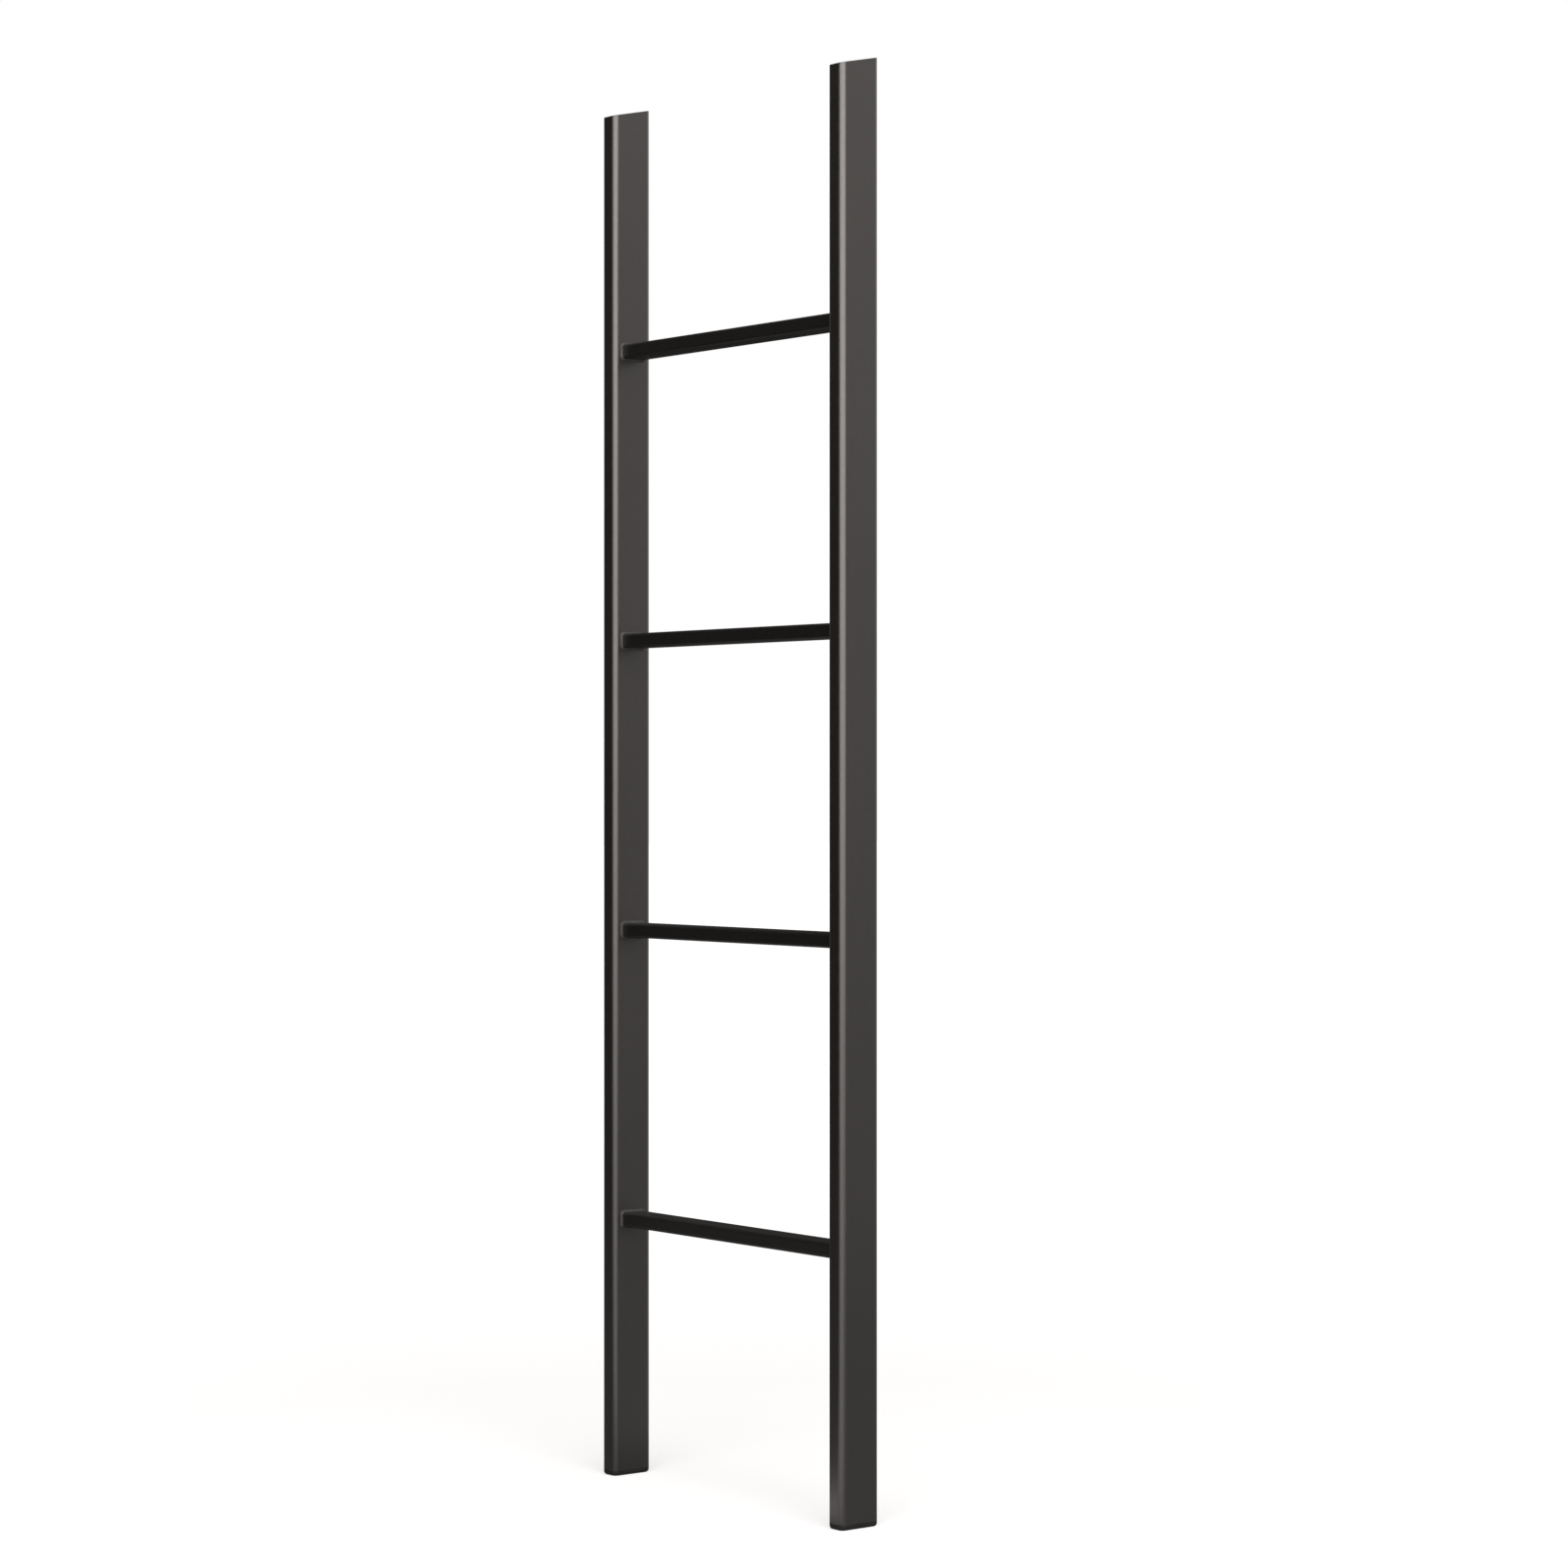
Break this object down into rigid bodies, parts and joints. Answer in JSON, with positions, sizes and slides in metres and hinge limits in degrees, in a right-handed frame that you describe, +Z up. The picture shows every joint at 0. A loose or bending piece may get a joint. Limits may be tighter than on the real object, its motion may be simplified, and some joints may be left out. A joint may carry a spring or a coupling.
{
  "type": "bunk bed ladder",
  "caption": "Straight welded steel bunk bed ladder: two upright rounded rectangular tube rails, flat tube rungs, slanted closed tops and plastic feet.",
  "frame": {"origin": "on the floor, midway between the two feet", "axes": "+X along the rungs to the climber's right, +Y from the climber's side to the bed's side, +Z up along the rails"},
  "size_m": [0.35, 0.042, 1.2499],
  "materials": {
    "powder_coat": "satin powder coat, very dark warm grey",
    "foot_plastic": "fine matt black moulded plastic",
    "zinc_plate": "bright zinc plate"
  },
  "bodies": {
    "root": {"left_rail": "powder_coat", "right_rail": "powder_coat", "left_top_plate": "powder_coat", "right_top_plate": "powder_coat", "left_foot": "foot_plastic", "right_foot": "foot_plastic", "left_insert": "zinc_plate", "right_insert": "zinc_plate", "rung_1": "powder_coat", "rung_2": "powder_coat", "rung_3": "powder_coat", "rung_4": "powder_coat", "weld_left_1": "powder_coat", "weld_left_2": "powder_coat", "weld_left_3": "powder_coat", "weld_left_4": "powder_coat", "weld_right_1": "powder_coat", "weld_right_2": "powder_coat", "weld_right_3": "powder_coat", "weld_right_4": "powder_coat"}
  },
  "joints": []
}
